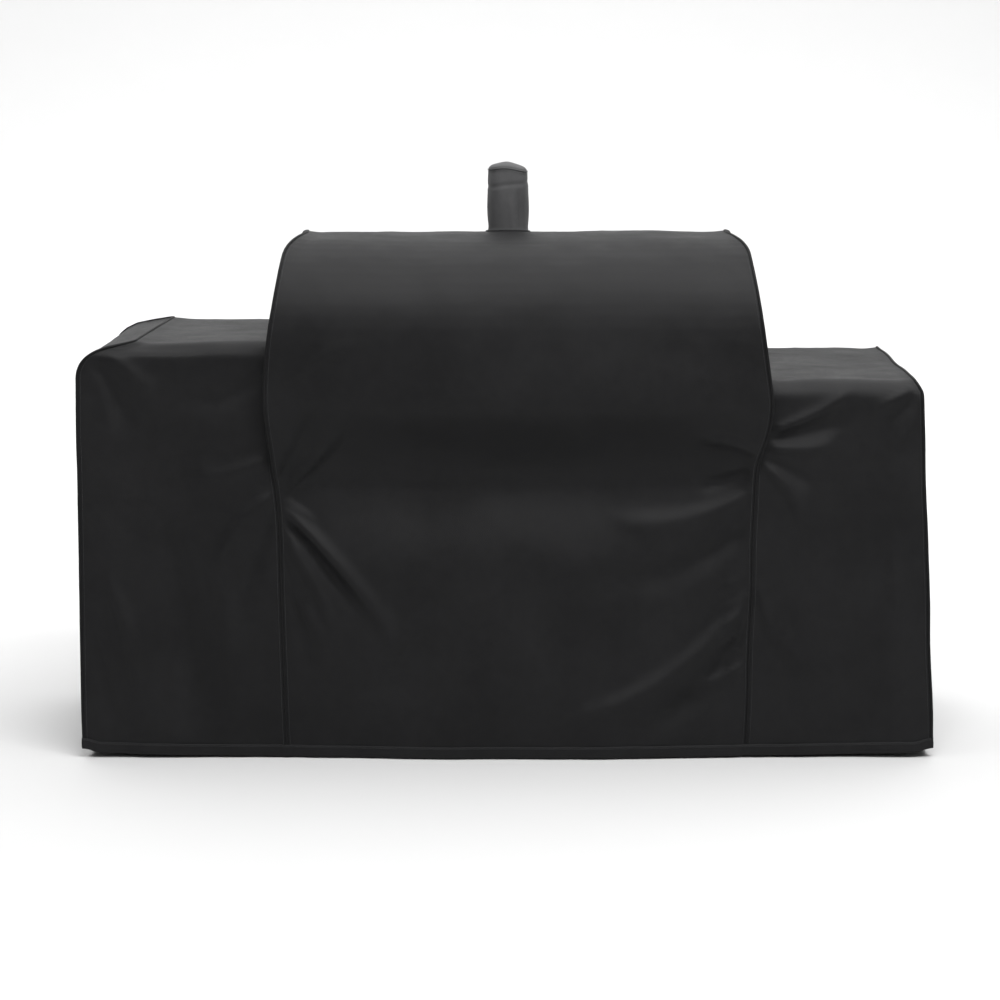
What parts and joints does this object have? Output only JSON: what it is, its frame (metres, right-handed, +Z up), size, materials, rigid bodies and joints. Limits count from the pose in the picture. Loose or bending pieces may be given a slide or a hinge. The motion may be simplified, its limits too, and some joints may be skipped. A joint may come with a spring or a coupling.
{
  "type": "grill cover",
  "caption": "Fitted black cloth cover for a wide combination barbecue: low side bays either side of a tall hooded middle with a chimney sleeve, piped seams, vents, handles and hem straps.",
  "frame": {"origin": "on the floor, under the middle of the cover's overall size", "axes": "+X to the right seen from the front, +Y from the front to the back, +Z up"},
  "size_m": [2.0177, 0.6524, 1.383],
  "materials": {
    "outer_cloth": "black coated polyester, satin",
    "hem_cloth": "black coated polyester, doubled",
    "piping": "black binding tape",
    "vent_mesh": "open black mesh",
    "webbing": "ribbed polypropylene webbing",
    "patch_cloth": "black coated polyester, stitched",
    "hook_and_loop": "black hook-and-loop tape",
    "ring_plastic": "black moulded acetal"
  },
  "bodies": {
    "cover": {"centre_panel": "outer_cloth", "left_panel": "outer_cloth", "right_panel": "outer_cloth", "left_end_panel": "outer_cloth", "right_end_panel": "outer_cloth", "hood_gusset_left": "outer_cloth", "hood_gusset_right": "outer_cloth", "chimney_sleeve": "outer_cloth", "chimney_cap": "outer_cloth", "hem_front": "hem_cloth", "hem_back": "hem_cloth", "hem_left": "hem_cloth", "hem_right": "hem_cloth", "hood_piping_left": "piping", "hood_piping_right": "piping", "gusset_piping_left": "piping", "gusset_piping_right": "piping", "end_piping_left": "piping", "end_piping_right": "piping", "chimney_base_binding": "piping", "chimney_top_binding": "piping", "vent_border_left": "piping", "vent_border_right": "piping", "flap_tape_left": "piping", "flap_tape_right": "piping", "vent_mesh_left": "vent_mesh", "vent_mesh_right": "vent_mesh", "handle_ends_left": "webbing", "handle_ends_right": "webbing", "strap_left": "webbing", "strap_right": "webbing", "strap_tab_left": "webbing", "strap_tab_right": "webbing", "handle_patches_left": "patch_cloth", "handle_patches_right": "patch_cloth", "strap_patches_left": "patch_cloth", "strap_patches_right": "patch_cloth", "loop_tape_left": "hook_and_loop", "loop_tape_right": "hook_and_loop", "strap_ring_left": "ring_plastic", "strap_ring_right": "ring_plastic"},
    "handle_left": {"handle_loop_left": "webbing", "handle_grip_left": "patch_cloth"},
    "flap_left": {"vent_flap_left": "outer_cloth", "flap_binding_left": "piping"},
    "tail_left": {"strap_tail_left": "webbing", "hook_tape_left": "hook_and_loop"},
    "handle_right": {"handle_loop_right": "webbing", "handle_grip_right": "patch_cloth"},
    "flap_right": {"vent_flap_right": "outer_cloth", "flap_binding_right": "piping"},
    "tail_right": {"strap_tail_right": "webbing", "hook_tape_right": "hook_and_loop"}
  },
  "joints": [
    {"name": "handle_lift_left", "type": "hinge", "parent": "cover", "child": "handle_left", "pos_m": [-1.00126, 0.02, 0.64003], "axis": [0, 1, 0], "range_deg": [0, 120]},
    {"name": "handle_lift_right", "type": "hinge", "parent": "cover", "child": "handle_right", "pos_m": [0.97309, 0.02, 0.64026], "axis": [0, -1, 0], "range_deg": [0, 120]},
    {"name": "vent_flap_lift_left", "type": "hinge", "parent": "cover", "child": "flap_left", "pos_m": [-0.29, 0.31572, 0.93207], "axis": [1, 0, 0], "range_deg": [0, 80]},
    {"name": "vent_flap_lift_right", "type": "hinge", "parent": "cover", "child": "flap_right", "pos_m": [0.29, 0.31572, 0.93207], "axis": [1, 0, 0], "range_deg": [0, 80]},
    {"name": "strap_tail_peel_left", "type": "hinge", "parent": "cover", "child": "tail_left", "pos_m": [-1.00569, -0.022, 0.11804], "axis": [0.006, 0, 1], "range_deg": [0, 135]},
    {"name": "strap_tail_peel_right", "type": "hinge", "parent": "cover", "child": "tail_right", "pos_m": [1.00049, -0.022, 0.11832], "axis": [0.0499, 0, -0.9988], "range_deg": [0, 135]}
  ]
}
